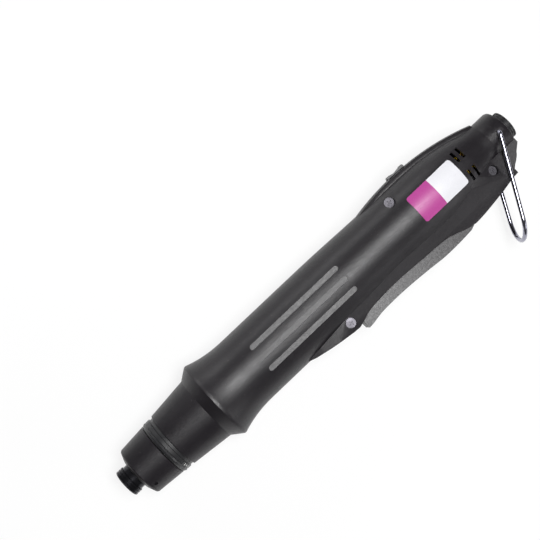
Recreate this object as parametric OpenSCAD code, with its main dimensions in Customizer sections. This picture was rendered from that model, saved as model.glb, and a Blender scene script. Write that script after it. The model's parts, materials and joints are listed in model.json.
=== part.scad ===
// Electric torque screwdriver: lever start, adjustable slip clutch, two-stage planetary drive.
// X runs from the bit socket (x = 0) to the power inlet, +Z points out of the labelled face and
// -Y is the side of the start lever.

/* [Nose] */
// Width across the flats of the bit socket
hex_flats = 6.35; // [6:0.05:6.6]
// Depth of the bit socket
hex_depth = 12.6; // [10:0.2:13]
// Outer radius of the bit holder
holder_r = 5.1; // [4.8:0.1:5.4]
// Length of the sliding bit sleeve
sleeve_len = 12; // [11:0.25:12.25]
// Outer radius of the sleeve's front collar
collar_r = 7.6; // [7.2:0.1:8]
// Outer radius of the sleeve behind the collar
sleeve_r = 7; // [6.8:0.1:7.1]
// How far the sleeve pulls back to free a bit
sleeve_travel = 2.5; // [1.5:0.1:2.6]
// How much of the sleeve stands in front of the nut
sleeve_show = 7.6; // [7:0.1:8]

/* [Torque nut and ring] */
// Length of the torque nut
nut_len = 18; // [17:0.25:19]
// Nut radius behind its front chamfer
nut_front_r = 14.2; // [13.8:0.1:14.6]
// Nut radius at its back edge
nut_back_r = 15.4; // [15:0.1:15.8]
// Width of the nut's front chamfer along the axis
nut_chamfer = 2; // [1:0.25:3]
// Length of the scale ring
ring_len = 6.7; // [6:0.1:7.5]
// Outer radius of the scale ring
ring_r = 16; // [15.7:0.1:16.3]
// Outer radius of the threaded neck that the nut turns on
neck_thread_r = 11.5; // [11.3:0.1:11.8]
// How far the nut unscrews, from the highest to the lowest torque
nut_travel = 2.5; // [1.5:0.1:2.6]

/* [Front cover] */
// Length of the front cover
cover_len = 52.2; // [51:0.2:54]
// Cover radius at its front edge
cover_front_r = 16.2; // [16:0.1:16.6]
// Cover radius at the foot of the flare
cover_foot_r = 18.6; // [18.2:0.1:19]
// Radius of the flare's crest
flare_r = 22.9; // [21.5:0.1:24]

/* [Case halves] */
// Length of the two case halves
shell_len = 170.6; // [168:0.2:174]
// Radius of the grip
grip_r = 19.4; // [19.1:0.1:20]
// Radius of the waist behind the grip
waist_r = 18.6; // [18.2:0.1:18.9]
// Radius of the case at its rear rim
rim_r = 12.4; // [12.2:0.1:12.8]
// Wall of the case halves
wall = 2; // [1.8:0.1:2.2]
// Length of the grip flutes
flute_len = 60; // [40:1:64]
// Width of one flute
flute_w = 2.8; // [2:0.1:3.6]
// Spacing of the flutes
flute_pitch = 7; // [5:0.25:8]
// Depth of a flute
flute_depth = 0.9; // [0.5:0.1:1.1]
// Length of one vent slot
vent_len = 6.3; // [4:0.1:7]
// Width of one vent slot
vent_w = 1.6; // [1:0.1:2]

/* [Lever] */
// Length of the start lever
lever_len = 76.4; // [74:0.2:77]
// Width of the lever
lever_w = 16; // [15:0.2:16.4]
// Wall of the lever
lever_wall = 1.8; // [1.5:0.1:2.1]
// Radius of the lever's pivot pin
lever_pin_r = 1.5; // [1.2:0.1:1.8]

/* [Switches and board] */
// Length of the direction knob
knob_len = 10.7; // [8:0.1:12]
// Width of the direction knob
knob_w = 6.4; // [5:0.1:7]
// How far the knob slides each way
knob_travel = 2.5; // [1:0.1:2.6]
// Radius of the start switch's plunger
plunger_r = 1.2; // [0.9:0.1:1.4]
// Length of the driver board
board_len = 74; // [72:1:76]
// Thickness of the driver board
board_t = 1.6; // [1.2:0.1:2]

/* [Rear end] */
// Length of the cap's round neck
neck_len = 12.1; // [11.6:0.1:13]
// Outer radius of the cap's neck
neck_r = 11.6; // [11.4:0.1:11.8]
// Outer radius of the inlet's threaded ring
inlet_r = 8; // [7.6:0.1:8.2]
// How far the inlet stands out of the cap
inlet_show = 3.7; // [3:0.1:5]
// Wire diameter of the hanging bail
bail_wire = 2.3; // [1.8:0.1:2.5]
// Length of the bail from its pivot to its bottom
bail_len = 57; // [50:1:64]
// Inner half width at the bail's round bottom
bail_bend_r = 11.6; // [11:0.1:12]
// Angle of the bail from the tool's axis as it hangs
bail_rest = 118; // [110:1:124]

/* [Gears] */
// Gear module
module_mm = 0.55; // [0.5:0.01:0.56]
// Teeth of the two sun gears
sun_z = 12; // [12]
// Teeth of the six planet gears
planet_z = 15; // [15]
// Radius of the planet pins
planet_pin_r = 1.2; // [1:0.05:1.3]
// Face width of the output planets
output_face = 7; // [6:0.25:7.25]
// Face width of the input planets
input_face = 5.5; // [4.5:0.25:6]

/* [Motor] */
// Outer radius of the motor
motor_r = 16.8; // [16.2:0.1:16.9]
// Length of the motor's can
can_len = 46; // [44:0.5:47]
// Radius of the rotor's magnet
magnet_r = 9.1; // [8.5:0.1:9.2]

/* [Hidden] */

// clearances and resolution
run_gap = 0.05;      // running fit on a shaft, radial
slide_gap = 0.1;     // sliding fit
part_gap = 0.3;      // between pieces that only pass each other
fine = 96;
coarse = 40;
over = 1;            // overlap of a cutting solid past the face that it cuts

// colours
case_black = [0.16, 0.15, 0.17];
metal_black = [0.12, 0.12, 0.13];
steel = [0.75, 0.76, 0.78];
brass = [0.78, 0.62, 0.3];
copper = [0.72, 0.42, 0.22];
board_green = [0.1, 0.35, 0.2];

// stations along the axis
x_nut = sleeve_show;
x_ring = x_nut + nut_len + part_gap;
x_cover = x_ring + ring_len;
x_shell = x_cover + cover_len;
x_rim = x_shell + shell_len;
x_neck = x_rim + neck_len;
x_end = x_neck + inlet_show;

// bit chuck
sleeve_step = 9;                       // shoulder inside the sleeve that the spring pushes on
holder_front = 0.6;
flange_x = sleeve_len + 0.6;           // flange behind the chuck spring
flange_t = 1.4;
flange_r = holder_r + 0.7;
chamber_r = flange_r + part_gap;
ball_x = 6.6;
chuck_ball_r = 1.2;
ball_dip = 0.45;                       // how far a ball stands into the hex
ball_at = hex_flats / 2 - ball_dip + chuck_ball_r;
snap_x = 1.3;
snap_t = 0.8;
snap_r = holder_r + 0.8;
groove_depth = 0.6;
chuck_wire = 0.3;

// clutch
nut_wall = 3;
nut_inner_x = x_nut + nut_wall;
nut_bore_r = collar_r + part_gap;
neck_wall_x = sleeve_len + sleeve_travel + 0.5;
neck_wall_t = 3.5;
neck_inner_r = neck_thread_r - 0.9;
shaft_r = 4.6;
bearing_r = 6.6;
pin_ring_r = 9;
push_pin_r = 1;
push_x = nut_inner_x + 0.1;
seat_x = neck_wall_x + neck_wall_t + nut_travel + 0.2;
seat_t = 1.7;
plate_x = x_cover - 1.6;
plate_t = 2.5;
clutch_wire = 1.1;
spring_mean_r = 9;
clutch_ball_r = 1.6;
clutch_ball_ring = 7.6;
clutch_ball_x = plate_x + plate_t + 1.2;
driver_x = clutch_ball_x + 1.2;
driver_t = 4.5;

// gears
pressure_angle = 25;
backlash = 0.05;                       // thinning of each flank
ring_z = sun_z + 2 * planet_z;
planet_at = module_mm * (sun_z + planet_z) / 2;
planet_count = 3;
gear_gap = 0.5;                        // along the axis, between a gear and the next piece
carrier_r = module_mm * (ring_z / 2 - 1) - 0.6;
gear_case_r = module_mm * (ring_z / 2 + 1.25) + 2.1;
out_x = driver_x + driver_t + gear_gap;
in_plate_x = out_x + output_face + 1.5;
in_plate_t = 3;
in_x = in_plate_x + in_plate_t + gear_gap;
gears_end = in_x + input_face + gear_gap;
ring_gear_x = out_x - gear_gap;
bell_x = gears_end + 2;
bell_t = 4.8;
can_x = bell_x + bell_t;
can_end = can_x + can_len;
housing_r = gear_case_r - 0.5;

// motor
motor_shaft_r = 2;
rotor_shaft_r = 3;
can_wall = 1;
stator_x = can_x + 8;
stator_len = 28;
tooth_tip_r = magnet_r + 0.6;
slots = 6;
yoke_t = 2.6;
front_bearing_r = 6.5;
rear_bearing_r = 5;
rear_bell_t = 4;

// lever
pivot_x = x_rim - 39.4;
pivot_y = -20;
lever_x0 = pivot_x + 5 - lever_len;    // free end
lever_x1 = pivot_x + 5;                // rear end
slot_half = lever_w / 2 + 0.4;
lip_half = slot_half + 2.2;
switch_x = lever_x0 + 13.4;
plunger_x = lever_x0 + 19.4;
spring_x = lever_x0 + 7.5;

// board and switches
board_x = can_end + 12;
board_top = -0.8;
board_y0 = -9.5;
board_y1 = 8.6;
bracket_y = -16;
bracket_t = 0.8;
knob_x = x_rim - 45.05;
knob_floor = 20.2;
knob_h = 2;
stem_half = 1.5;

// rear end
bail_x = x_rim + 6.6;
bail_eye = 1.5;                        // radius of the bail's eyes beside the neck
bail_z = neck_r + part_gap + bail_eye;
bail_pin_in = 3.6;
bail_pin_r = bail_wire / 2 - 0.05;
facet_top = [x_neck - 0.5, -10.6];
facet_low = [x_rim, -20.4];
lamp_r = 4.5;
insert_r = inlet_r - 1.6;
inlet_flange_r = inlet_r + 1.3;

// ---------- helpers ----------

// puts a shape that is drawn along Z onto the tool's axis, starting at x
module on_axis(x = 0) {
    translate([x, 0, 0]) rotate([0, 90, 0]) children();
}

module disc(x0, x1, r, facets = fine) {
    on_axis(x0) cylinder(h = x1 - x0, r = r, $fn = facets);
}

module ring(x0, x1, outer, inner) {
    difference() {
        disc(x0, x1, outer);
        disc(x0 - over, x1 + over, inner);
    }
}

// turns an outline of [radius, x] points about the axis
module turned(points) {
    on_axis() rotate_extrude($fn = fine) polygon(points);
}

// prism over a plan outline of [x, y] points, from z0 to z1
module slab(points, z0, z1) {
    translate([0, 0, z0]) linear_extrude(height = z1 - z0) polygon(points);
}

module box(low, high) {
    translate(low) cube(high - low);
}

module post(x, y, z0, z1, r) {
    translate([x, y, z0]) cylinder(h = z1 - z0, r = r, $fn = coarse);
}

// smooth curve through stations [position, value], evaluated at s
function hermite(a, b, ma, mb, t) =
    (2*t*t*t - 3*t*t + 1) * a + (t*t*t - 2*t*t + t) * ma + (3*t*t - 2*t*t*t) * b + (t*t*t - t*t) * mb;
function slope(p, i) = (i == 0 || i == len(p) - 1) ? 0
    : (p[i+1][1] - p[i-1][1]) / (p[i+1][0] - p[i-1][0]);
function span_of(p, s, i = 0) = (i >= len(p) - 2 || s < p[i+1][0]) ? i : span_of(p, s, i + 1);
function along(p, s) =
    let(i = span_of(p, s), w = p[i+1][0] - p[i][0], t = min(1, max(0, (s - p[i][0]) / w)))
    hermite(p[i][1], p[i+1][1], slope(p, i) * w, slope(p, i + 1) * w, t);

// tube swept through rings of points that go round its wall
module tube_from(rings) {
    n = len(rings[0]);
    m = len(rings);
    polyhedron(
        points = [for (r = rings) for (p = r) p],
        faces = concat(
            [[for (j = [n - 1:-1:0]) j]],
            [for (i = [0:m-2]) for (j = [0:n-1]) [i*n + j, i*n + (j+1)%n, (i+1)*n + j]],
            [for (i = [0:m-2]) for (j = [0:n-1]) [i*n + (j+1)%n, (i+1)*n + (j+1)%n, (i+1)*n + j]],
            [[for (j = [0:n-1]) (m-1)*n + j]]));
}

// coil spring between two stations on the axis
module coil(length, mean_r, wire_r, turns, steps = 14, sides = 6) {
    count = turns * steps;
    pitch = (length - 2 * wire_r) / count;
    on_axis() tube_from([for (i = [0:count]) let(a = i * 360 / steps)
        [for (j = [0:sides-1]) let(b = j * 360 / sides, r = mean_r + wire_r * cos(b))
            [r * cos(a), r * sin(a), wire_r + i * pitch + wire_r * sin(b)]]]);
}

// wire along a route of points, with its rings square to the axis
module wire(route, r, sides = 6) {
    tube_from([for (p = route)
        [for (j = [0:sides-1]) p + [0, r * cos(j * 360 / sides), r * sin(j * 360 / sides)]]]);
}

// ---------- gears ----------

function inv(a) = tan(a) - a * PI / 180;
// half the tooth angle at radius r, for a tooth thinned by thin on each flank
function half_angle(z, r, thin) =
    let(rp = module_mm * z / 2, rb = rp * cos(pressure_angle))
    90 / z + (inv(pressure_angle) - inv(acos(min(1, rb / r))) - thin / rp) * 180 / PI;
function polar(r, a) = [r * cos(a), r * sin(a)];
function tooth(z, mid, r0, r1, thin, steps = 3) =
    let(rb = module_mm * z / 2 * cos(pressure_angle), rs = max(rb, r0),
        rise = [for (k = [0:steps]) rs + (r1 - rs) * k / steps])
    concat(
        rs > r0 ? [polar(r0, mid - half_angle(z, rs, thin))] : [],
        [for (r = rise) polar(r, mid - half_angle(z, r, thin))],
        [for (k = [steps:-1:0]) polar(rise[k], mid + half_angle(z, rise[k], thin))],
        rs > r0 ? [polar(r0, mid + half_angle(z, rs, thin))] : []);
function gear_outline(z, addendum, dedendum, thin) =
    let(rp = module_mm * z / 2)
    [for (i = [0:z-1]) each tooth(z, 360 * i / z, rp - dedendum * module_mm, rp + addendum * module_mm, thin)];

// gear along the axis from x0 to x1, with a tooth at the given angle
module spur(z, x0, x1, phase = 0) {
    on_axis(x0) rotate([0, 0, phase]) linear_extrude(height = x1 - x0)
        polygon(gear_outline(z, 1, 1.25, backlash));
}

// angle of one planet about the tool's axis, and the turn that puts its teeth in mesh with the sun
function planet_angle(k) = 360 * k / planet_count;
function planet_phase(k) = planet_angle(k) + 180 + (sun_z * planet_angle(k) - 180) / planet_z;

module at_planet(k) {
    rotate([planet_angle(k), 0, 0]) translate([0, 0, -planet_at]) children();
}

module planet(k, x0, face) {
    at_planet(k) difference() {
        spur(planet_z, x0, x0 + face, planet_phase(k) - planet_angle(k));
        disc(x0 - over, x0 + face + over, planet_pin_r + run_gap, coarse);
    }
}

module planet_pins(x0, x1) {
    for (k = [0:planet_count-1]) at_planet(k) disc(x0, x1, planet_pin_r, coarse);
}

// ---------- outlines ----------

// the outlines are drawn for this length of case and stretched to the chosen one
nominal_len = 170.6;
stretch = shell_len / nominal_len;

// radius of the case along its length
body_stations = [
    [0, grip_r], [25, grip_r], [63, grip_r - 0.1], [95, waist_r], [114, waist_r + 0.3],
    [136, waist_r - 0.1], [153, 16.2], [nominal_len, rim_r]];
function body_r(s) = along(body_stations, s / stretch);
body_steps = 34;
function body_outline(inset) = [for (i = [0:body_steps]) let(s = shell_len * i / body_steps)
    [body_r(s) - inset, x_shell + s]];

// outer edge of the lever-side keel, seen along Z
keel_stations = [
    [18, 12], [24, 18], [34, 20.8], [50, 23.2], [56.5, 23.7], [60, 22.6], [66, 20.6], [85, 19.7], [105, 20.6],
    [120, 21.6], [129, 24.4], [136.6, 26.4], [157, 24.2], [nominal_len, 22.2]];
keel_steps = 40;
function keel_edge(inset) = [for (i = [0:keel_steps])
    let(s = keel_stations[0][0] + (nominal_len - keel_stations[0][0]) * i / keel_steps)
    [x_shell + s * stretch, -(along(keel_stations, s) - inset)]];
// half width of the keel, falling away outwards
keel_root = 8;
function keel_section(inset) = [
    [-keel_root, -(lip_half + 3.2 - inset)], [-20.5, -(lip_half - inset)], [-25.2, -(lip_half - 1.6 - inset)],
    [-28, -(lip_half - 4 - inset)], [-28, lip_half - 4 - inset], [-25.2, lip_half - 1.6 - inset],
    [-20.5, lip_half - inset], [-keel_root, lip_half + 3.2 - inset]];

// outer edge of the switch-side keel: an arc about an axis along Z
ridge_r = 146;
ridge_half = 6;
ridge_top = 21;
ridge_x = x_shell + 122 * stretch;
ridge_x0 = x_shell + 86 * stretch;
ridge_round = 2.2;

// outer face of the lever
lever_stations = [[0, 27.5], [10.4, 26.1], [26.4, 26], [41.4, 26.9], [55.4, 28], [74.4, 27.3], [lever_len, 26.2]];
lever_steps = 24;
function lever_edge(inset, s0, s1) = [for (i = [0:lever_steps]) let(s = s0 + (s1 - s0) * i / lever_steps)
    [lever_x0 + s, -(along(lever_stations, s) - inset)]];

// ---------- case ----------

// half width of the keel in plan, which opens out from a narrow front
keel_plan = [[18, 4.5], [34, 8.5], [54, 12], [72, 16], [146, 15], [164, 10.8], [nominal_len, 10.2]];
function keel_side(inset, way) = [for (p = keel_plan) [x_shell + p[0] * stretch, way * (p[1] - inset)]];
module keel(inset) {
    intersection() {
        rotate([90, 0, 0]) linear_extrude(height = 40) polygon(concat(keel_side(inset, 1),
            [for (i = [len(keel_plan) - 1:-1:0]) keel_side(inset, -1)[i]]));
        slab(concat(keel_edge(inset), [[x_rim, -keel_root], [x_shell + keel_stations[0][0] * stretch, -keel_root]]), -20, 20);
        translate([x_shell, 0, 0]) rotate([90, 0, 90]) linear_extrude(height = shell_len)
            polygon(keel_section(inset));
    }
}

ridge_wall = 1.3;      // the ridge's wall is this many times the case's
module ridge(inset) {
    r = ridge_r - ridge_wall * inset;
    h = ridge_half - inset;
    intersection() {
        translate([ridge_x, ridge_top - ridge_r, 0]) rotate_extrude($fn = 360) polygon([
            [0, -h], [r - ridge_round, -h], [r - 0.3 * ridge_round, -h + 0.3 * ridge_round],
            [r, -h + ridge_round], [r, h - ridge_round], [r - 0.3 * ridge_round, h - 0.3 * ridge_round],
            [r - ridge_round, h], [0, h]]);
        box([ridge_x0, 8, -ridge_half], [x_rim, 24, ridge_half]);
    }
}

module case_solid(inset) {
    turned(concat([[0, x_shell]], body_outline(inset), [[0, x_rim]]));
    keel(inset);
    ridge(inset);
}

// stations of the case screws: [x, y, z of the head's seat]
screw_places = [
    [lever_x0 - 5.8, -18.8, 7.6], [x_rim - 60.5, 12.3, 10.6], [x_rim - 9, -12.5, 5.6]];
screw_r = 1.4;
head_r = 2.7;
head_t = 1.9;
boss_r = 3.3;
screw_end = -8;

module flutes() {
    for (i = [-1:1]) {
        y = i * flute_pitch;
        floor_z = sqrt(grip_r * grip_r - y * y) - flute_depth;
        flute_x0 = x_shell + 7.7 + flute_w / 2;
        flute_x1 = flute_x0 + flute_len - flute_w;
        box([flute_x0, y - flute_w / 2, floor_z], [flute_x1, y + flute_w / 2, floor_z + 4]);
        for (x = [flute_x0, flute_x1]) post(x, y, floor_z, floor_z + 4, flute_w / 2);
    }
}

vent_cols = [x_rim - 20.3, x_rim - 16.5];
vent_row = 6.1;
module vents() {
    for (x = vent_cols) for (side = [-1, 1])
        box([x - vent_w / 2, side * vent_row - vent_len / 2, 2], [x + vent_w / 2, side * vent_row + vent_len / 2, 24]);
}

module lever_slot() {
    box([lever_x0 - 0.4, -32, -slot_half], [lever_x1 + 0.4, -11, slot_half]);
}

module knob_slot() {
    box([knob_x - knob_len / 2 - knob_travel - 0.5, knob_floor, -knob_w / 2 - 0.3],
        [knob_x + knob_len / 2 + knob_travel + 0.5, knob_floor + 6, knob_w / 2 + 0.3]);
    box([knob_x - stem_half - knob_travel - 0.4, 12, -stem_half - 0.2],
        [knob_x + stem_half + knob_travel + 0.4, knob_floor + 1, stem_half + 0.2]);
}

// what both halves share: the hollow case with its openings, before it is parted
module case_hollow() {
    difference() {
        case_solid(0);
        difference() {
            case_solid(wall);
            for (s = screw_places) post(s[0], s[1], -24, 24, boss_r);
            box([x_shell - over, -24, -24], [x_shell + 18, 24, 24]);
            box([lever_x0 - 3, -28, -24], [lever_x0 - 0.4, -18, 24]);
        }
        disc(x_shell - over, x_shell + 18.5, motor_r + 0.3);
        disc(x_rim - 4, x_rim + over, rim_r - wall);
        slab([[x_rim - 1.6, -9], [x_rim - 1.6, facet_low[1] + 0.1], [x_rim + over, facet_low[1] + 0.1],
            [x_rim + over, -9]], -slot_half + 0.4, slot_half - 0.4);
        lever_slot();
        knob_slot();
        post(pivot_x, pivot_y, -slot_half - 1, slot_half + 1, lever_pin_r);
    }
}

module half_space(top) {
    box([x_shell - 5, -40, top ? 0 : -40], [x_rim + 5, 40, top ? 40 : 0]);
}

module top_shell() {
    color(case_black) difference() {
        intersection() {
            case_hollow();
            half_space(true);
        }
        flutes();
        vents();
        for (s = screw_places) {
            post(s[0], s[1], s[2], 24, head_r + 0.15);
            post(s[0], s[1], -over, s[2] + over, screw_r + 0.2);
        }
    }
}

rib_t = 1.6;
module bottom_shell() {
    color(case_black) {
        difference() {
            intersection() {
                case_hollow();
                half_space(false);
            }
            mirror([0, 0, 1]) flutes();
            mirror([0, 0, 1]) vents();
            for (s = screw_places) post(s[0], s[1], screw_end, over, screw_r);
        }
        for (x = [board_x + 3, board_x + board_len - 5]) intersection() {
            box([x, board_y0, -24], [x + rib_t, board_y1 - 1, board_top - board_t]);
            disc(x - over, x + rib_t + over, body_r(x - x_shell) - wall / 2);
        }
    }
}

module case_screws() {
    color(metal_black) for (s = screw_places) difference() {
        union() {
            post(s[0], s[1], s[2], s[2] + head_t, head_r);
            post(s[0], s[1], screw_end + 0.5, s[2] + 0.1, screw_r);
        }
        for (a = [0, 90]) translate([s[0], s[1], s[2] + head_t]) rotate([0, 0, a + 20])
            cube([3, 0.7, 1.8], center = true);
    }
}

label_x = x_rim - 54.2;
label_len = 30.6;
label_w = 16;
label_t = 0.15;
label_corner = 1.4;
module label() {
    color([0.95, 0.95, 0.96]) intersection() {
        difference() {
            turned(concat([[0, x_shell]], body_outline(-label_t), [[0, x_rim]]));
            turned(concat([[0, x_shell]], body_outline(0), [[0, x_rim]]));
        }
        union() {
            box([label_x, -label_w / 2 + label_corner, 5], [label_x + label_len, label_w / 2 - label_corner, 24]);
            box([label_x + label_corner, -label_w / 2, 5], [label_x + label_len - label_corner, label_w / 2, 24]);
            for (x = [label_x + label_corner, label_x + label_len - label_corner])
                for (y = [-1, 1]) post(x, y * (label_w / 2 - label_corner), 5, 24, label_corner);
        }
    }
}

// ---------- front cover ----------

flare_x = x_cover + 29;
flare_power = 2.2;
module front_cover() {
    tail = x_shell - flare_x - 1;
    color(case_black) difference() {
        turned(concat(
            [[0, x_cover], [cover_front_r, x_cover], [cover_foot_r, flare_x - 6.1], [flare_r - 0.5, flare_x - 0.8],
            [flare_r, flare_x]],
            [for (i = [0:12]) let(t = i / 12)
                [grip_r + (flare_r - grip_r) * pow(1 - t, flare_power), flare_x + 1 + tail * t]],
            [[0, x_shell]]));
        disc(x_cover - over, x_shell + over, housing_r + run_gap);
        disc(ring_gear_x, x_shell + over, gear_case_r + run_gap);
        disc(bell_x, x_shell + over, motor_r + slide_gap);
    }
}

// ---------- rear end ----------

module rear_cap() {
    flange = rim_r - wall - 0.1;
    color(case_black) difference() {
        union() {
            turned([[0, x_rim - 4], [flange, x_rim - 4], [flange, x_rim], [neck_r, x_rim],
                [neck_r, x_neck - 1.8], [neck_r - 0.5, x_neck - 0.6], [neck_r - 1.8, x_neck], [0, x_neck]]);
            slab([facet_low, facet_top, [facet_top[0], -6], [x_rim - 1.5, -6], [x_rim - 1.5, facet_low[1]]],
                -slot_half + 0.5, slot_half - 0.5);
        }
        disc(x_rim - 4 - over, x_neck - 6.5, inlet_flange_r + 0.1);
        disc(x_rim, x_neck + over, inlet_r + run_gap);
        translate([bail_x, 0, -20]) cylinder(h = 40, r = bail_pin_r + run_gap, $fn = coarse);
        at_facet() translate([0, 0, -3]) cylinder(h = 10, r = lamp_r - 0.9, $fn = coarse);
    }
}

facet_mid = (facet_low + facet_top) / 2;
facet_tilt = atan2(facet_top[1] - facet_low[1], facet_top[0] - facet_low[0]);
// local Z points out of the sloping face
module at_facet() {
    translate([facet_mid[0], facet_mid[1], 0]) rotate([0, 0, facet_tilt]) rotate([90, 0, 0]) children();
}

module indicator_bezel() {
    color(steel) at_facet() difference() {
        union() {
            cylinder(h = 1.3, r = lamp_r, $fn = coarse);
            translate([0, 0, -2.8]) cylinder(h = 3, r = lamp_r - 1, $fn = coarse);
        }
        translate([0, 0, -3]) cylinder(h = 5, r = lamp_r - 1.7, $fn = coarse);
    }
}

module indicator_lens() {
    lens_r = lamp_r - 1.75;
    color([0.9, 0.9, 0.85]) at_facet() {
        translate([0, 0, -2.8]) cylinder(h = 4, r = lens_r, $fn = coarse);
        translate([0, 0, 1.2]) intersection() {
            translate([0, 0, -3]) sphere(r = sqrt(lens_r * lens_r + 9), $fn = coarse);
            cylinder(h = 3, r = lens_r, $fn = coarse);
        }
    }
}

module connector_shell() {
    thread_pitch = 1.2;
    color(metal_black) difference() {
        union() {
            disc(x_neck - 8, x_end - 0.4, inlet_r - 0.35);
            disc(x_neck - 8, x_neck - 6.6, inlet_flange_r);
            disc(x_neck - 6.6, x_neck, inlet_r);
            for (x = [x_neck + 0.5:thread_pitch:x_end - 0.6]) disc(x, x + 0.6, inlet_r);
        }
        disc(x_neck - 9, x_end + over, insert_r);
    }
}

module connector_insert() {
    color([0.1, 0.1, 0.1]) difference() {
        disc(x_neck - 8, x_neck - 4, insert_r);
        inlet_pins(x_neck - 9, x_neck - 3);
    }
}

pin_circle_r = 3.6;
contact_r = 0.6;
contacts = 5;
module inlet_pins(x0, x1) {
    for (i = [0:contacts-1]) rotate([i * 360 / contacts, 0, 0]) translate([0, pin_circle_r, 0])
        disc(x0, x1, contact_r, coarse);
}

module connector_pins() {
    color(brass) inlet_pins(x_neck - 11, x_neck - 0.6);
}

// the bail lies in the plane of Z and its own length, which starts at the pivot: a pin, an eye and a
// straight leg on each side, and half a turn between the two legs
bail_step = 0.02;      // the bends are this much thicker than the legs, so that no faces touch
bail_lap = 0.2;        // how far a leg runs into a bend
bail_bend_c = bail_len - bail_bend_r;
bail_eye_z = bail_z - bail_eye;
bail_lean = acos((bail_bend_r - bail_eye) / norm([bail_eye_z, bail_bend_c - bail_eye]))
    - atan2(bail_bend_c - bail_eye, bail_eye_z);

module wire_bend(wire_r, bend_r, start, turn) {
    rotate([90, 0, 0]) rotate([0, 0, start]) rotate_extrude(angle = turn, $fn = fine)
        translate([bend_r, 0]) circle(r = wire_r, $fn = coarse);
}

module bail() {
    r = bail_wire / 2;
    leg = (bail_bend_c - bail_eye) * cos(bail_lean) + bail_eye_z * sin(bail_lean);
    color(steel) translate([bail_x, 0, 0]) rotate([0, 0, -bail_rest]) {
        for (side = [0, 1]) mirror([0, 0, side]) {
            translate([0, 0, bail_z - bail_pin_in])
                cylinder(h = bail_pin_in - bail_eye + bail_lap, r = bail_pin_r, $fn = coarse);
            translate([bail_eye, 0, bail_eye_z]) wire_bend(r + bail_step, bail_eye, 90 - bail_lean, 90 + bail_lean);
            translate([bail_eye * (1 + sin(bail_lean)), 0, bail_eye_z + bail_eye * cos(bail_lean)])
                rotate([0, 90 + bail_lean, 0]) translate([0, 0, -bail_lap])
                    cylinder(h = leg + 2 * bail_lap, r = r, $fn = coarse);
        }
        translate([bail_bend_c, 0, 0])
            wire_bend(r + bail_step, bail_bend_r, bail_lean - 90, 180 - 2 * bail_lean);
    }
}

// ---------- lever ----------

module lever() {
    half = lever_w / 2;
    color(case_black) difference() {
        union() {
            difference() {
                slab(concat(lever_edge(0, 0, lever_len), [[lever_x1, -22], [pivot_x + 3.4, -17.4],
                    [pivot_x - 4, -17.4], [pivot_x - 12, -18.9], [lever_x0, -18.9]]), -half, half);
                slab(concat(lever_edge(lever_wall, lever_wall, lever_len - lever_wall),
                    [[lever_x1 - lever_wall, -10], [lever_x0 + lever_wall, -10]]), -half + lever_wall, half - lever_wall);
            }
            box([plunger_x - 2, -25.5, -3], [plunger_x + 2, plunger_tip - 0.1, 5]);
            intersection() {
                slab(concat(lever_edge(0.5, 0, lever_len), [[lever_x1, pivot_y], [lever_x0, pivot_y]]), -half, half);
                translate([spring_x, -20, 0]) rotate([90, 0, 0]) cylinder(h = 8, r = 1.6, $fn = coarse);
            }
        }
        post(pivot_x, pivot_y, -half - over, half + over, lever_pin_r + run_gap);
        // chamfered long edges of the outer face
        for (side = [-1, 1]) slab(concat(lever_edge(-1, 0, lever_len), [for (i = [lever_steps:-1:0])
            lever_edge(1.1, 0, lever_len)[i]]), side > 0 ? half - 1 : -half - over, side > 0 ? half + over : -half + 1);
    }
}

module lever_pin() {
    color(steel) post(pivot_x, pivot_y, -slot_half - 0.9, slot_half + 0.9, lever_pin_r);
}

spring_floor = bracket_y - 0.05;
module lever_spring() {
    outer = -(along(lever_stations, spring_x - lever_x0) - lever_wall) + 0.1;
    color(steel) translate([spring_x, outer, 0]) rotate([0, 0, 90]) coil(spring_floor - outer, 2.3, 0.3, 6);
}

plunger_tip = -20.3;
module start_plunger() {
    color([0.7, 0.2, 0.15]) translate([plunger_x, -12, 2.2]) rotate([90, 0, 0])
        cylinder(h = -12 - plunger_tip - 0.2, r = plunger_r, $fn = coarse);
}

module switch_bracket() {
    x1 = switch_x + 22;
    x0 = lever_x0 + 2.6;
    color(steel) difference() {
        union() {
            box([x0, bracket_y, -5.5], [x1, bracket_y + bracket_t, 5.5]);
            for (x = [x0, x1 - bracket_t])
                box([x, bracket_y, -5.5], [x + bracket_t, board_y0, 5.5]);
        }
        translate([plunger_x, -10, 2.2]) rotate([90, 0, 0]) cylinder(h = 10, r = plunger_r + 0.4, $fn = coarse);
    }
}

module start_switch() {
    color([0.12, 0.12, 0.14]) difference() {
        box([switch_x, bracket_y + bracket_t, board_top], [switch_x + 20, -6.8, board_top + 6]);
        translate([plunger_x, -8, 2.2]) rotate([90, 0, 0]) cylinder(h = 10, r = plunger_r + run_gap, $fn = coarse);
    }
}

// ---------- direction switch ----------

module direction_knob() {
    y0 = knob_floor + 0.15;
    y1 = y0 + knob_h;
    dish_r = 12;
    color([0.1, 0.1, 0.11]) difference() {
        union() {
            box([knob_x - knob_len / 2, y0, -knob_w / 2], [knob_x + knob_len / 2, y1, knob_w / 2]);
            box([knob_x - stem_half, 13.8, -stem_half], [knob_x + stem_half, y0 + 0.5, stem_half]);
        }
        translate([knob_x, y1 + dish_r - 0.7, -10]) cylinder(h = 20, r = dish_r, $fn = fine);
        for (side = [-1, 1]) translate([knob_x + side * knob_len / 2, y1, 0]) rotate([0, 0, 45])
            cube([0.8, 0.8, 20], center = true);
    }
}

module direction_switch() {
    x_half = 7.4;
    color([0.2, 0.2, 0.22]) difference() {
        box([knob_x - x_half, 11.2, -4], [knob_x + x_half, 16.3, 4]);
        box([knob_x - stem_half - knob_travel - 0.3, 13.4, -stem_half - 0.15],
            [knob_x + stem_half + knob_travel + 0.3, 17, stem_half + 0.15]);
    }
}

// ---------- board ----------

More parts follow.
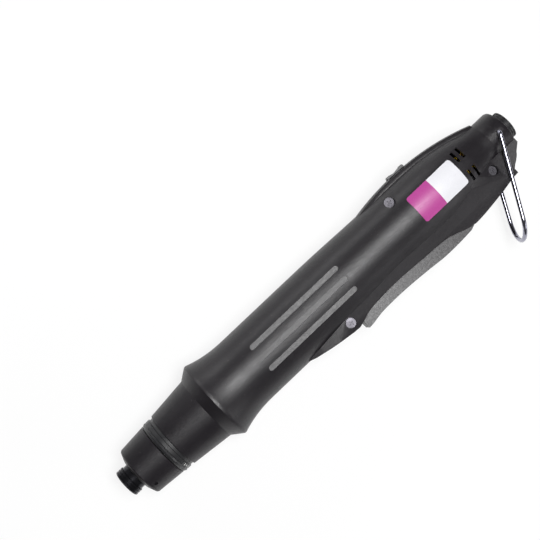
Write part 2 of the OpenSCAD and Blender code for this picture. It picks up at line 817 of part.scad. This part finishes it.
module driver_board() {
    color(board_green) box([board_x, board_y0, board_top - board_t], [board_x + board_len, board_y1, board_top]);
}

module power_transistors() {
    color([0.1, 0.1, 0.1]) for (i = [0:2]) for (y = [-7, 1])
        box([board_x + 4 + i * 8, y, board_top], [board_x + 10 + i * 8, y + 6, board_top + 2.2]);
}

module filter_capacitor() {
    color([0.15, 0.2, 0.5]) translate([board_x + board_len - 22, 0.5, board_top + 5])
        rotate([0, 90, 0]) cylinder(h = 18, r = 5, $fn = coarse);
}

lead_r = 0.7;
module motor_leads() {
    color([0.75, 0.6, 0.1]) for (i = [-1:1]) wire([
        [can_end + 0.05, i * 4, 9.5], [can_end + 2, i * 4, 9.5], [can_end + 5, i * 4, 8.5], [can_end + 8, i * 4, 6],
        [can_end + 10.5, i * 4, 3], [can_end + 12.5, i * 4, 1], [can_end + 14.5, i * 4, lead_r + board_top]], lead_r);
}

// wires from the inlet's contacts to the board, in the order in which they lie side by side
wire_order = [2, 3, 4, 1, 0];
module supply_wires() {
    start = board_x + board_len - 3.5;
    stop = x_neck - 11;
    wire_r = 0.8;
    rise = [0, 0.4, 3, 6.5, 9.2, 10.4, 9.6, 7, 4, 1.6, 0];
    color([0.85, 0.7, 0.15]) for (i = [0:contacts-1]) {
        from = [start, -6.4 + i * 3.2, board_top + wire_r];
        a = wire_order[i] * 360 / contacts;
        to = [stop - 3, pin_circle_r * cos(a), pin_circle_r * sin(a)];
        wire(concat(
            [for (k = [0:10]) let(t = k / 10, ease = t * t) from + [(to[0] - from[0]) * t,
                (to[1] - from[1]) * ease, (to[2] - from[2]) * ease + rise[k]]],
            [to + [3, 0, 0]]), wire_r);
    }
}

// ---------- torque nut, ring and clutch ----------

module torque_nut() {
    color(case_black) difference() {
        turned([[0, x_nut], [10, x_nut], [nut_front_r - 0.5, x_nut + nut_chamfer - 0.4],
            [nut_front_r, x_nut + nut_chamfer + 0.3], [nut_back_r, x_nut + nut_len - 0.3],
            [nut_back_r - 0.3, x_nut + nut_len], [0, x_nut + nut_len]]);
        disc(x_nut - over, x_nut + nut_len, nut_bore_r);
        disc(nut_inner_x, x_nut + nut_len + over, neck_thread_r + run_gap);
        at_set_screw() cylinder(h = 8, r = 1.1, $fn = coarse);
    }
}

set_screw_x = x_nut + 5;
set_screw_turn = 42;
module at_set_screw() {
    rotate([set_screw_turn, 0, 0]) translate([set_screw_x, 0, neck_thread_r + 0.4]) children();
}

module nut_set_screw() {
    color(metal_black) at_set_screw() difference() {
        cylinder(h = 2, r = 1.08, $fn = coarse);
        translate([0, 0, 1]) cylinder(h = 2, r = 0.5, $fn = 6);
    }
}

module scale_ring() {
    groove = x_ring + 4.4;
    color([0.14, 0.14, 0.15]) difference() {
        turned([[0, x_ring], [ring_r - 0.7, x_ring], [ring_r - 0.2, x_ring + 0.7], [ring_r, x_ring + 1.4],
            [ring_r - 0.4, x_ring + 2.2], [ring_r - 0.1, x_ring + 2.6], [ring_r - 0.1, groove],
            [ring_r - 0.7, groove + 0.3], [ring_r - 0.7, x_cover - 0.5], [ring_r - 0.2, x_cover], [0, x_cover]]);
        disc(x_ring - over, x_cover + over, neck_thread_r + run_gap);
    }
}

module clutch_housing() {
    color([0.6, 0.61, 0.63]) difference() {
        union() {
            disc(neck_wall_x, x_cover + 1, neck_thread_r);
            disc(x_cover, ring_gear_x, housing_r);
        }
        disc(neck_wall_x + neck_wall_t, ring_gear_x + over, neck_inner_r);
        disc(neck_wall_x - over, neck_wall_x + neck_wall_t + over, bearing_r);
        push_pin_set(neck_wall_x - over, neck_wall_x + neck_wall_t + over, push_pin_r + run_gap);
    }
}

module push_pin_set(x0, x1, r) {
    for (i = [0:2]) rotate([i * 120 + 30, 0, 0]) translate([0, pin_ring_r, 0]) disc(x0, x1, r, coarse);
}

module push_pins() {
    color(steel) push_pin_set(push_x, seat_x, push_pin_r);
}

module spring_seat() {
    color(steel) ring(seat_x, seat_x + seat_t, neck_inner_r - 0.2, shaft_r + 0.6);
}

module clutch_spring() {
    color(steel) translate([seat_x + seat_t + 0.05, 0, 0])
        coil(plate_x - seat_x - seat_t - 0.1, spring_mean_r, clutch_wire, 2, 24, 8);
}

module ball_ring(r) {
    for (i = [0:5]) rotate([i * 60, 0, 0]) translate([clutch_ball_x, clutch_ball_ring, 0]) sphere(r = r, $fn = coarse);
}

module clutch_plate() {
    color(steel) difference() {
        ring(plate_x, plate_x + plate_t, neck_inner_r - 0.3, shaft_r + run_gap);
        ball_ring(clutch_ball_r + slide_gap);
    }
}

module clutch_balls() {
    color(steel) ball_ring(clutch_ball_r);
}

module spindle_bearing() {
    color(steel) ring(neck_wall_x, neck_wall_x + neck_wall_t, bearing_r, shaft_r + run_gap);
}

// ---------- bit chuck ----------

module bit_holder() {
    color(metal_black) difference() {
        union() {
            disc(holder_front, flange_x, holder_r);
            disc(flange_x, flange_x + flange_t, flange_r);
            disc(flange_x + flange_t, driver_x - 0.3, shaft_r);
            disc(driver_x - 0.5, driver_x + 4, 2.5);
        }
        on_axis(holder_front - over) rotate([0, 0, 30]) cylinder(h = hex_depth + over, r = hex_flats / sqrt(3), $fn = 6);
        for (side = [0, 180]) rotate([side, 0, 0]) translate([ball_x, 0, 1]) cylinder(h = 6, r = chuck_ball_r + 0.05, $fn = coarse);
        ring(snap_x, snap_x + snap_t, holder_r + over, holder_r - groove_depth);
    }
}

module chuck_balls() {
    color(steel) for (side = [-1, 1]) translate([ball_x, 0, side * ball_at]) sphere(r = chuck_ball_r, $fn = coarse);
}

module chuck_ring() {
    color(steel) difference() {
        ring(snap_x + 0.02, snap_x + snap_t - 0.02, snap_r, holder_r - groove_depth);
        box([snap_x - over, -0.7, 0], [snap_x + snap_t + over, 0.7, 10]);
    }
}

module bit_sleeve() {
    bore = max(holder_r + run_gap, ball_at + chuck_ball_r + run_gap);
    color(metal_black) difference() {
        turned([[0, 0], [collar_r - 0.5, 0], [collar_r, 0.4], [collar_r, 1.2], [collar_r - 0.35, 1.4],
            [collar_r - 0.35, 1.7], [collar_r, 1.9], [collar_r, 2.5], [collar_r - 0.35, 2.7], [collar_r - 0.35, 3],
            [collar_r, 3.2], [collar_r, 4], [sleeve_r, 4.4], [sleeve_r, sleeve_len], [0, sleeve_len]]);
        disc(-over, sleeve_len + over, bore);
        disc(-over, snap_x + snap_t + 0.2, snap_r + 0.3);
        disc(sleeve_step, sleeve_len + over, chamber_r);
    }
}

module chuck_spring() {
    color(steel) translate([sleeve_step + 0.05, 0, 0])
        coil(flange_x - sleeve_step - 0.1, holder_r + chuck_wire + 0.25, chuck_wire, 3, 20);
}

// ---------- gearbox ----------

module output_carrier() {
    color([0.55, 0.56, 0.58]) {
        difference() {
            disc(driver_x, driver_x + driver_t, carrier_r);
            disc(driver_x - over, driver_x + 4 + 0.1, 2.5 + run_gap);
            ball_ring(clutch_ball_r + slide_gap);
        }
        planet_pins(driver_x + driver_t - 0.1, out_x + output_face + 0.3);
    }
}

module input_carrier() {
    color([0.55, 0.56, 0.58]) {
        disc(in_plate_x, in_plate_x + in_plate_t, carrier_r);
        spur(sun_z, out_x - 0.2, in_plate_x + 0.1);
        planet_pins(in_plate_x + in_plate_t - 0.1, in_x + input_face + 0.3);
    }
}

module output_planet_1() { color(steel) planet(0, out_x, output_face); }
module output_planet_2() { color(steel) planet(1, out_x, output_face); }
module output_planet_3() { color(steel) planet(2, out_x, output_face); }
module input_planet_1() { color(steel) planet(0, in_x, input_face); }
module input_planet_2() { color(steel) planet(1, in_x, input_face); }
module input_planet_3() { color(steel) planet(2, in_x, input_face); }

module ring_gear() {
    color([0.5, 0.51, 0.53]) difference() {
        disc(ring_gear_x, bell_x, gear_case_r);
        on_axis(ring_gear_x - over) linear_extrude(height = bell_x - ring_gear_x + 2 * over)
            polygon(gear_outline(ring_z, 1.25, 1, -backlash));
    }
}

// ---------- motor ----------

module motor_pinion() {
    color(steel) difference() {
        spur(sun_z, in_x - 0.2, bell_x - 0.6);
        disc(in_x - over, bell_x, motor_shaft_r);
    }
}

module motor_shaft() {
    color(steel) {
        disc(in_x - 0.2, can_end + 2, motor_shaft_r);
        disc(can_x + 2, can_end - 4, rotor_shaft_r);
    }
}

module motor_front_bell() {
    color([0.6, 0.61, 0.63]) difference() {
        disc(bell_x, can_x, motor_r);
        disc(bell_x - over, can_x + over, motor_shaft_r + 1.5);
        disc(bell_x + 0.8, can_x + over, front_bearing_r);
    }
}

module motor_can() {
    color([0.2, 0.2, 0.22]) ring(can_x, can_end - rear_bell_t, motor_r, motor_r - can_wall);
}

module motor_rear_bell() {
    x0 = can_end - rear_bell_t;
    color([0.6, 0.61, 0.63]) difference() {
        disc(x0, can_end, motor_r);
        disc(x0 - over, can_end + over, motor_shaft_r + 1);
        disc(x0 - over, can_end - 1, rear_bearing_r);
    }
}

module motor_bearings() {
    color(steel) {
        ring(bell_x + 0.8, can_x - 0.2, front_bearing_r, motor_shaft_r + run_gap);
        ring(can_end - rear_bell_t, can_end - 1, rear_bearing_r, motor_shaft_r + run_gap);
    }
}

module stator_core() {
    outer = motor_r - can_wall;
    color([0.35, 0.35, 0.37]) {
        ring(stator_x, stator_x + stator_len, outer, outer - yoke_t);
        intersection() {
            ring(stator_x, stator_x + stator_len, outer - yoke_t + 0.2, tooth_tip_r);
            for (i = [0:slots-1]) rotate([i * 360 / slots, 0, 0])
                box([stator_x, 0, -1.8], [stator_x + stator_len, outer, 1.8]);
        }
    }
}

module stator_coils() {
    coil_w = 1.3;
    outer = motor_r - can_wall - yoke_t - 0.25;
    color(copper) for (i = [0:slots-1]) rotate([i * 360 / slots, 0, 0]) difference() {
        box([stator_x - 2, tooth_tip_r + 0.6, -1.8 - coil_w], [stator_x + stator_len + 2, outer - 0.6, 1.8 + coil_w]);
        box([stator_x - 0.05, 0, -1.85], [stator_x + stator_len + 0.05, motor_r, 1.85]);
    }
}

module rotor_magnet() {
    color([0.3, 0.3, 0.33]) ring(stator_x - 2, stator_x + stator_len + 1, magnet_r, rotor_shaft_r);
}

module hall_board() {
    x = can_end - rear_bell_t - 1.7;
    color(board_green) ring(x, can_end - rear_bell_t, motor_r - can_wall - 0.1, 6);
}

// ---------- pieces ----------

top_shell();
bottom_shell();
front_cover();
rear_cap();
case_screws();
label();
lever();
lever_pin();
lever_spring();
switch_bracket();
start_switch();
start_plunger();
direction_knob();
direction_switch();
driver_board();
power_transistors();
filter_capacitor();
motor_leads();
supply_wires();
bail();
connector_shell();
connector_insert();
connector_pins();
indicator_bezel();
indicator_lens();
torque_nut();
nut_set_screw();
scale_ring();
clutch_housing();
push_pins();
spring_seat();
clutch_spring();
clutch_plate();
clutch_balls();
spindle_bearing();
bit_holder();
bit_sleeve();
chuck_balls();
chuck_ring();
chuck_spring();
output_carrier();
output_planet_1();
output_planet_2();
output_planet_3();
ring_gear();
input_carrier();
input_planet_1();
input_planet_2();
input_planet_3();
motor_pinion();
motor_shaft();
motor_bearings();
motor_front_bell();
motor_can();
motor_rear_bell();
stator_core();
stator_coils();
rotor_magnet();
hall_board();
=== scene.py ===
"""Looks of the electric torque screwdriver: finishes, scale marks on the ring, light and camera."""
import json
import math

import bmesh
import bpy
from mathutils import Matrix, Vector


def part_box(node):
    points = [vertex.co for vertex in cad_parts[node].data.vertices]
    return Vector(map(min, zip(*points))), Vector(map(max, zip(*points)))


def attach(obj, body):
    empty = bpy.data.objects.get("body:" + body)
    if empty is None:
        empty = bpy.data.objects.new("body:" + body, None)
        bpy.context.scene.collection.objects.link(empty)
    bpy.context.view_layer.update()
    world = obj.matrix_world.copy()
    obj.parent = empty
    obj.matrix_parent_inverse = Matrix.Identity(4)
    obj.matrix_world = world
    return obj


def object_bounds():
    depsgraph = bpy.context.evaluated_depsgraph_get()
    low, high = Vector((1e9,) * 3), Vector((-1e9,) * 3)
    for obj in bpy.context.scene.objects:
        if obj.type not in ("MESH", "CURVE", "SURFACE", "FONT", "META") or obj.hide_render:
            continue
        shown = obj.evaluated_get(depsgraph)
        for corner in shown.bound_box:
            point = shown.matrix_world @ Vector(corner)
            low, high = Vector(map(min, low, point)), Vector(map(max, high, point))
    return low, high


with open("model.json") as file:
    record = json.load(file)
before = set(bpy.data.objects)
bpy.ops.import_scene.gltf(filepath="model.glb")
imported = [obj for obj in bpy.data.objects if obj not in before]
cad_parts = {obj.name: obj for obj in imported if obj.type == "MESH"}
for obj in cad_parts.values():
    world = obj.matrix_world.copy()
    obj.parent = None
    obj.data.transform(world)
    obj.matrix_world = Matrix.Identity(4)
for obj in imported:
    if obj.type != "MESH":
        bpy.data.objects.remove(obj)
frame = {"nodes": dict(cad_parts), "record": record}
cad_box = [list(corner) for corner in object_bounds()]
MM = 0.001


# ---------- shared shading groups ----------

def new_group(name, inputs, outputs):
    tree = bpy.data.node_groups.new(name, "ShaderNodeTree")
    for label, kind, value in inputs:
        socket = tree.interface.new_socket(name=label, in_out="INPUT", socket_type=kind)
        if value is not None:
            socket.default_value = value
    for label, kind in outputs:
        tree.interface.new_socket(name=label, in_out="OUTPUT", socket_type=kind)
    return tree, tree.nodes.new("NodeGroupInput"), tree.nodes.new("NodeGroupOutput")


def math_node(tree, operation, first, second=None, clamp=False):
    node = tree.nodes.new("ShaderNodeMath")
    node.operation, node.use_clamp = operation, clamp
    for i, value in enumerate((first, second)):
        if value is None:
            continue
        if isinstance(value, (int, float)):
            node.inputs[i].default_value = value
        else:
            tree.links.new(value, node.inputs[i])
    return node.outputs[0]


def noise(tree, vector, scale, detail=4.0, rough=0.55):
    node = tree.nodes.new("ShaderNodeTexNoise")
    node.inputs["Detail"].default_value = detail
    node.inputs["Roughness"].default_value = rough
    if isinstance(scale, (int, float)):
        node.inputs["Scale"].default_value = scale
    else:
        tree.links.new(scale, node.inputs["Scale"])
    tree.links.new(vector, node.inputs["Vector"])
    return node.outputs["Fac"]


def moulded_grain():
    """Spark-textured mould finish: fine pits, slow tone drift and a little dust."""
    tree, start, end = new_group("moulded_grain",
        [("Vector", "NodeSocketVector", None), ("Grain", "NodeSocketFloat", 4200.0)],
        [("Height", "NodeSocketFloat"), ("Tone", "NodeSocketFloat"), ("Dust", "NodeSocketFloat")])
    vector, grain = start.outputs["Vector"], start.outputs["Grain"]
    fine = noise(tree, vector, grain, 2.0, 0.6)
    coarse = noise(tree, vector, math_node(tree, "MULTIPLY", grain, 0.37), 2.0, 0.5)
    fine_share = math_node(tree, "MULTIPLY", fine, 0.65)
    coarse_share = math_node(tree, "MULTIPLY", coarse, 0.35)
    height = math_node(tree, "ADD", fine_share, coarse_share)
    drift = noise(tree, vector, 38.0, 3.0)
    specks = math_node(tree, "GREATER_THAN", noise(tree, vector, 900.0, 1.0), 0.74)
    tree.links.new(height, end.inputs["Height"])
    tree.links.new(drift, end.inputs["Tone"])
    tree.links.new(specks, end.inputs["Dust"])
    return tree


def turned_marks():
    """Fine lines that a lathe or a wheel leaves round the X axis, with a slow smear."""
    tree, start, end = new_group("turned_marks",
        [("Vector", "NodeSocketVector", None), ("Fineness", "NodeSocketFloat", 3000.0)],
        [("Height", "NodeSocketFloat"), ("Smear", "NodeSocketFloat")])
    mapping = tree.nodes.new("ShaderNodeMapping")
    mapping.inputs["Scale"].default_value = (1.0, 0.02, 0.02)
    tree.links.new(start.outputs["Vector"], mapping.inputs["Vector"])
    lines = noise(tree, mapping.outputs["Vector"], start.outputs["Fineness"], 3.0)
    tree.links.new(lines, end.inputs["Height"])
    tree.links.new(noise(tree, start.outputs["Vector"], 220.0, 3.0), end.inputs["Smear"])
    return tree


GRAIN, TURNED = moulded_grain(), turned_marks()


# ---------- materials ----------

def base(name, metallic, roughness, **constants):
    material = bpy.data.materials.new(name)
    material.use_nodes = True
    tree = material.node_tree
    shader = tree.nodes["Principled BSDF"]
    shader.inputs["Metallic"].default_value = metallic
    shader.inputs["Roughness"].default_value = roughness
    for socket, value in constants.items():
        shader.inputs[socket.replace("_", " ")].default_value = value
    place = tree.nodes.new("ShaderNodeTexCoord").outputs["Object"]
    return material, tree, shader, place


def drop_in(tree, group, place, **values):
    node = tree.nodes.new("ShaderNodeGroup")
    node.node_tree = group
    tree.links.new(place, node.inputs["Vector"])
    for label, value in values.items():
        node.inputs[label].default_value = value
    return node


def blend_colour(tree, mask, low, high):
    mix = tree.nodes.new("ShaderNodeMix")
    mix.data_type = "RGBA"
    for socket, value in ((6, low), (7, high)):
        if isinstance(value, tuple):
            mix.inputs[socket].default_value = (*value, 1.0)
        else:
            tree.links.new(value, mix.inputs[socket])
    tree.links.new(mask, mix.inputs[0])
    return mix.outputs[2]


def scaled(colour, share):
    return tuple(c * share for c in colour)



def remap(tree, value, low, high, new_low, new_high):
    node = tree.nodes.new("ShaderNodeMapRange")
    for i, number in enumerate((low, high, new_low, new_high)):
        node.inputs[i + 1].default_value = number
    tree.links.new(value, node.inputs[0])
    return node.outputs[0]


def bump(tree, shader, height, strength, distance):
    node = tree.nodes.new("ShaderNodeBump")
    node.inputs["Strength"].default_value = strength
    node.inputs["Distance"].default_value = distance
    tree.links.new(height, node.inputs["Height"])
    tree.links.new(node.outputs["Normal"], shader.inputs["Normal"])


DUST_COLOUR = (0.32, 0.31, 0.3)
ROUGHNESS_DRIFT = 0.08


def moulded(name, colour, roughness, grain, relief, dust, **constants):
    material, tree, shader, place = base(name, 0.0, roughness, **constants)
    finish = drop_in(tree, GRAIN, place, Grain=grain)
    tone = remap(tree, finish.outputs["Tone"], 0.3, 0.7, 0.0, 1.0)
    light = tuple(min(1.0, c * 1.22 + 0.003) for c in colour)
    body = blend_colour(tree, tone, colour, light)
    specks = math_node(tree, "MULTIPLY", finish.outputs["Dust"], dust)
    dusty = blend_colour(tree, specks, body, DUST_COLOUR)
    tree.links.new(dusty, shader.inputs["Base Color"])
    smoothest = max(0.05, roughness - ROUGHNESS_DRIFT)
    roughest = min(1.0, roughness + ROUGHNESS_DRIFT)
    rough = remap(tree, finish.outputs["Height"], 0.3, 0.7, smoothest, roughest)
    tree.links.new(rough, shader.inputs["Roughness"])
    bump(tree, shader, finish.outputs["Height"], relief, 0.00016)
    return material


def machined(name, colour, roughness, fineness, relief, metallic, **constants):
    material, tree, shader, place = base(name, metallic, roughness, **constants)
    marks = drop_in(tree, TURNED, place, Fineness=fineness)
    smear = remap(tree, marks.outputs["Smear"], 0.35, 0.65, 0.0, 1.0)
    smeared = blend_colour(tree, smear, colour, scaled(colour, 0.86))
    tree.links.new(smeared, shader.inputs["Base Color"])
    rough = remap(tree, marks.outputs["Smear"], 0.3, 0.7, roughness * 0.8, roughness * 1.25)
    tree.links.new(rough, shader.inputs["Roughness"])
    bump(tree, shader, marks.outputs["Height"], relief, 0.00005)
    return material


def two_tone_film(name, split):
    """Bare printed film: a purple field towards the nose and a white field behind it."""
    material, tree, shader, place = base(name, 0.0, 0.38, Coat_Weight=0.2, Coat_Roughness=0.2)
    parts = tree.nodes.new("ShaderNodeSeparateXYZ")
    tree.links.new(place, parts.inputs[0])
    behind = math_node(tree, "GREATER_THAN", parts.outputs["X"], split)
    speck = noise(tree, place, 1500.0, 2.0)
    purple = blend_colour(tree, speck, (0.4, 0.045, 0.25), (0.46, 0.06, 0.29))
    white = blend_colour(tree, speck, (0.7, 0.7, 0.74), (0.78, 0.78, 0.81))
    tree.links.new(blend_colour(tree, behind, purple, white), shader.inputs["Base Color"])
    bump(tree, shader, noise(tree, place, 700.0, 2.0), 0.06, 0.0001)
    return material


def circuit_board(name, colour):
    material, tree, shader, place = base(name, 0.0, 0.35, Coat_Weight=0.4)
    tracks = tree.nodes.new("ShaderNodeTexVoronoi")
    tracks.distance = "MANHATTAN"
    tracks.inputs["Scale"].default_value = 320.0
    tree.links.new(place, tracks.inputs["Vector"])
    lines = math_node(tree, "LESS_THAN", tracks.outputs["Distance"], 0.22)
    etched = blend_colour(tree, lines, colour, scaled(colour, 1.7))
    tree.links.new(etched, shader.inputs["Base Color"])
    bump(tree, shader, lines, 0.2, 0.00004)
    return material


def stacked_sheets(name, colour):
    material, tree, shader, place = base(name, 0.9, 0.42)
    bands = tree.nodes.new("ShaderNodeTexWave")
    bands.bands_direction = "X"
    bands.inputs["Scale"].default_value = 640.0
    bands.inputs["Distortion"].default_value = 0.2
    tree.links.new(place, bands.inputs["Vector"])
    sheets = blend_colour(tree, bands.outputs["Fac"], scaled(colour, 0.6), colour)
    tree.links.new(sheets, shader.inputs["Base Color"])
    bump(tree, shader, bands.outputs["Fac"], 0.3, 0.0001)
    return material


def clear_lens(name):
    material, tree, shader, place = base(name, 0.0, 0.05, Transmission_Weight=0.85, IOR=1.49)
    haze = noise(tree, place, 600.0, 2.0)
    glass = blend_colour(tree, haze, (0.86, 0.85, 0.8), (0.95, 0.94, 0.9))
    tree.links.new(glass, shader.inputs["Base Color"])
    bump(tree, shader, haze, 0.05, 0.0001)
    return material


# colour, roughness, grain (noise cells per metre), relief and dust of each moulded finish
MOULDED = {
    "case_plastic": ((0.0062, 0.0046, 0.0068), 0.42, 1900.0, 0.6, 0.06),
    "lever_plastic": ((0.0068, 0.0052, 0.0075), 0.4, 1900.0, 0.55, 0.06),
    "knob_plastic": ((0.011, 0.0105, 0.012), 0.36, 5200.0, 0.12, 0.25),
    "component": ((0.02, 0.02, 0.021), 0.5, 5000.0, 0.15, 0.25),
    "insert_plastic": ((0.012, 0.012, 0.013), 0.4, 5200.0, 0.1, 0.25),
    "wire_yellow": ((0.72, 0.47, 0.03), 0.4, 2600.0, 0.08, 0.0),
    "plunger_red": ((0.42, 0.03, 0.02), 0.35, 3000.0, 0.08, 0.0),
    # the scale marks' pale grey is a painted highlight: the real raised marks are black like the ring
    "ring_marks_painted_highlight": ((0.62, 0.62, 0.6), 0.5, 2600.0, 0.05, 0.0),
}
# colour, roughness, fineness (noise cells per metre), relief and metallic of each machined finish
MACHINED = {
    "inlet_black": ((0.016, 0.016, 0.018), 0.35, 2600.0, 0.12, 0.1),
    "black_oxide": ((0.035, 0.035, 0.04), 0.24, 3600.0, 0.1, 0.85),
    "screw_steel": ((0.04, 0.038, 0.044), 0.34, 2600.0, 0.08, 0.8),
    "bright_steel": ((0.62, 0.63, 0.65), 0.22, 3200.0, 0.12, 1.0),
    "bail_chrome": ((0.36, 0.36, 0.43), 0.12, 1500.0, 0.02, 1.0),
    "lamp_chrome": ((0.66, 0.66, 0.69), 0.12, 2600.0, 0.04, 1.0),
    "gear_steel": ((0.42, 0.43, 0.45), 0.3, 3200.0, 0.12, 1.0),
    "cast_metal": ((0.5, 0.51, 0.53), 0.42, 1800.0, 0.2, 1.0),
    "spring_steel": ((0.5, 0.51, 0.53), 0.26, 3200.0, 0.12, 1.0),
    "magnet": ((0.12, 0.12, 0.13), 0.45, 1500.0, 0.15, 1.0),
    "copper_wire": ((0.62, 0.26, 0.1), 0.3, 4200.0, 0.3, 1.0),
    "contact_gold": ((0.8, 0.56, 0.22), 0.2, 3200.0, 0.12, 1.0),
}
FINISHES = {name: moulded(name, *look) for name, look in MOULDED.items()}
FINISHES.update({name: machined(name, *look) for name, look in MACHINED.items()})
FINISHES["capacitor"] = moulded(
    "capacitor", (0.02, 0.03, 0.12), 0.3, 3000.0, 0.06, 0.0, Coat_Weight=0.3)
FINISHES["ring_paint"] = machined(
    "ring_paint", (0.018, 0.018, 0.02), 0.42, 2400.0, 0.1, 0.0, Coat_Weight=0.15)
FINISHES["lamination"] = stacked_sheets("lamination", (0.3, 0.31, 0.33))
FINISHES["board"] = circuit_board("board", (0.015, 0.13, 0.045))
FINISHES["lamp_glass"] = clear_lens("lamp_glass")

PURPLE_SHARE = 0.47       # of the label's length, from its nose end
label_low, label_high = (Vector(corner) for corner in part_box("label"))
label_split = label_low.x + PURPLE_SHARE * (label_high.x - label_low.x)
FINISHES["label_film"] = two_tone_film("label_film", label_split)

SLOT_OF = {part["node"]: part["material_slot"] for part in frame["record"]["subparts"]}


def smooth_curves(piece, angle):
    """Shades curved faces smooth and keeps the edges sharper than the angle."""
    piece.data.polygons.foreach_set("use_smooth", [True] * len(piece.data.polygons))
    weld = piece.modifiers.new("join", "WELD")
    weld.merge_threshold = 1e-6
    split = piece.modifiers.new("edges", "EDGE_SPLIT")
    split.split_angle = math.radians(angle)
    split.use_edge_sharp = False


SHARP_EDGE = 26           # degrees; a flatter edge is shaded smooth

for node_name, piece in frame["nodes"].items():
    piece.data.materials.clear()
    piece.data.materials.append(FINISHES[SLOT_OF[node_name]])
    smooth_curves(piece, SHARP_EDGE)


# ---------- scale marks on the ring ----------

MARKS = 21
FIRST_MARK = 52           # degrees round the X axis, from +Z towards -Y
MARK_STEP = 6.5           # degrees
LONG_EVERY = 5
LONG_MARK, SHORT_MARK = 1.5 * MM, 0.9 * MM
MARK_WIDTH, MARK_HEIGHT = 0.34 * MM, 0.04 * MM
MARKS_FROM_FRONT = 3.5 * MM
MARKS_UNDER_RIM = 0.1 * MM    # in from the ring's largest radius


def raise_scale_marks():
    """Raised marks round the ring's band, a longer one at every fifth; their pale grey is a painted
    highlight on marks that are really as black as the ring.
    """
    low, high = (Vector(corner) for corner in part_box("scale_ring"))
    seat = Matrix.Translation((low.x + MARKS_FROM_FRONT, 0, high.z - MARKS_UNDER_RIM))
    raised_marks = bmesh.new()
    for i in range(MARKS):
        length = SHORT_MARK if i % LONG_EVERY else LONG_MARK
        turn = Matrix.Rotation(math.radians(FIRST_MARK + i * MARK_STEP), 4, "X")
        bar = bmesh.ops.create_cube(raised_marks, size=1.0)["verts"]
        size = Matrix.Diagonal((length, MARK_WIDTH, MARK_HEIGHT, 1.0))
        bmesh.ops.transform(raised_marks, verts=bar, matrix=turn @ seat @ size)
    mesh = bpy.data.meshes.new("scale_marks")
    raised_marks.to_mesh(mesh)
    raised_marks.free()
    mesh.materials.append(FINISHES["ring_marks_painted_highlight"])
    marks = bpy.data.objects.new("scale_marks", mesh)
    bpy.context.scene.collection.objects.link(marks)
    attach(marks, "housing")


raise_scale_marks()


# ---------- stage, light and camera ----------

FLOOR_GLOW = 0.8          # share of the floor's look that is plain white
FLOOR_HALF = 6.0          # metres, from the middle to a side
FLOOR_GAP = 0.2 * MM      # under the lowest point of the tool


def floor_finish():
    material = bpy.data.materials.new("pale_floor")
    material.use_nodes = True
    tree = material.node_tree
    shader = tree.nodes["Principled BSDF"]
    shader.inputs["Base Color"].default_value = (0.93, 0.93, 0.93, 1)
    shader.inputs["Roughness"].default_value = 0.9
    white = tree.nodes.new("ShaderNodeEmission")
    white.inputs["Strength"].default_value = 1.0
    rays = tree.nodes.new("ShaderNodeLightPath")
    mix = tree.nodes.new("ShaderNodeMixShader")
    glow = math_node(tree, "MULTIPLY", rays.outputs["Is Camera Ray"], FLOOR_GLOW)
    tree.links.new(glow, mix.inputs[0])
    tree.links.new(shader.outputs[0], mix.inputs[1])
    tree.links.new(white.outputs[0], mix.inputs[2])
    tree.links.new(mix.outputs[0], tree.nodes["Material Output"].inputs["Surface"])
    return material


def lay_floor(height):
    sheet = bmesh.new()
    bmesh.ops.create_grid(sheet, x_segments=1, y_segments=1, size=FLOOR_HALF)
    bmesh.ops.translate(sheet, verts=sheet.verts, vec=(0, 0, height))
    mesh = bpy.data.meshes.new("floor")
    sheet.to_mesh(mesh)
    sheet.free()
    mesh.materials.append(floor_finish())
    floor = bpy.data.objects.new("floor", mesh)
    bpy.context.scene.collection.objects.link(floor)


lay_floor(cad_box[0][2] - FLOOR_GAP)


LIGHT_AIM = Vector((0.135, 0.0, 0.0))


def softbox(name, place, size, power):
    lamp = bpy.data.lights.new(name, "AREA")
    lamp.shape = "RECTANGLE"
    lamp.size, lamp.size_y = size
    lamp.energy = power
    holder = bpy.data.objects.new(name, lamp)
    holder.location = place
    holder.rotation_euler = (LIGHT_AIM - Vector(place)).to_track_quat("-Z", "Y").to_euler()
    bpy.context.scene.collection.objects.link(holder)


softbox("over_softbox", (0.2, -0.03, 0.85), (0.34, 0.26), 7.4)
softbox("left_softbox", (0.25, 0.75, 0.3), (0.5, 0.2), 1.6)
softbox("right_softbox", (0.5, -0.65, 0.3), (0.4, 0.2), 1.0)

world = bpy.data.worlds.new("studio")
world.use_nodes = True
background = world.node_tree.nodes["Background"]
background.inputs["Color"].default_value = (1, 1, 1, 1)
background.inputs["Strength"].default_value = 0.1
bpy.context.scene.world = world
bpy.context.scene.view_settings.view_transform = "Standard"


SENSOR_WIDTH = 36.0       # mm
LENS = 69.866667          # mm


def place_camera(stand, aim, along):
    """Puts the camera at stand, looking at aim, with the tool's X axis along that way of the view."""
    eye = bpy.data.cameras.new("camera")
    eye.sensor_width = SENSOR_WIDTH
    eye.lens = LENS
    holder = bpy.data.objects.new("camera", eye)
    forward = (Vector(aim) - Vector(stand)).normalized()
    lean = Vector((along[1], along[0], 0.0))
    right = forward.cross(lean).normalized()
    up = right.cross(forward)
    turn = Matrix((right, up, -forward)).transposed().to_4x4()
    holder.matrix_world = Matrix.Translation(stand) @ turn
    bpy.context.scene.collection.objects.link(holder)
    bpy.context.scene.camera = holder


place_camera(stand=(0.088, 0.029, 0.54), aim=(0.128, 0.029, 0.0), along=(0.727, 0.687))
